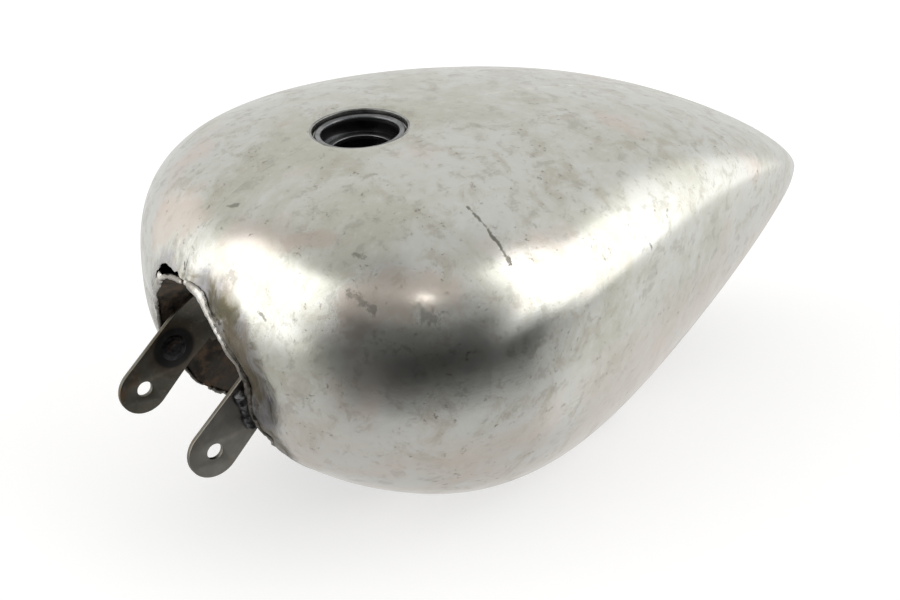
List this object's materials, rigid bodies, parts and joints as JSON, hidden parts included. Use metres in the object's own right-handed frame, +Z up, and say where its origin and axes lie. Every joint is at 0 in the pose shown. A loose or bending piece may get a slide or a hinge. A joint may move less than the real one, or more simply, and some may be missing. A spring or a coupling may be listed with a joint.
{
  "type": "motorcycle fuel tank",
  "caption": "Welded steel motorcycle fuel tank with a frame tunnel, sunk screw-in filler neck, front bolt ears, rear bolt plate and fuel tap bung.",
  "frame": {"origin": "on the ground under the middle of the whole tank's box, with the tank standing on its two lobes", "axes": "+X towards the nose and the steering head, +Y to the rider's left, +Z up"},
  "size_m": [0.5358, 0.3158, 0.2243],
  "materials": {
    "raw_sheet": "raw pressed sheet, satin with mill and oil stains",
    "tunnel_sheet": "raw sheet, darker and lightly rusted",
    "weld_metal": "rough weld bead with heat tint, partly ground",
    "plate_steel": "dark mill scale with light cut edges",
    "turned_steel": "turned, lightly oiled"
  },
  "bodies": {
    "root": {"left_shell": "raw_sheet", "right_shell": "raw_sheet", "tunnel": "tunnel_sheet", "nose_seam_weld": "weld_metal", "spine_seam_weld": "weld_metal", "mouth_weld": "weld_metal", "left_tunnel_weld": "weld_metal", "right_tunnel_weld": "weld_metal", "filler_weld": "weld_metal", "left_ear_weld": "weld_metal", "right_ear_weld": "weld_metal", "left_plug_weld": "weld_metal", "right_plug_weld": "weld_metal", "rear_plate_welds": "weld_metal", "petcock_bung_weld": "weld_metal", "filler_recess_cup": "plate_steel", "left_front_ear": "plate_steel", "right_front_ear": "plate_steel", "rear_mount_plate": "plate_steel", "filler_neck": "turned_steel", "filler_seat_ring": "turned_steel", "petcock_bung": "turned_steel"}
  },
  "joints": []
}
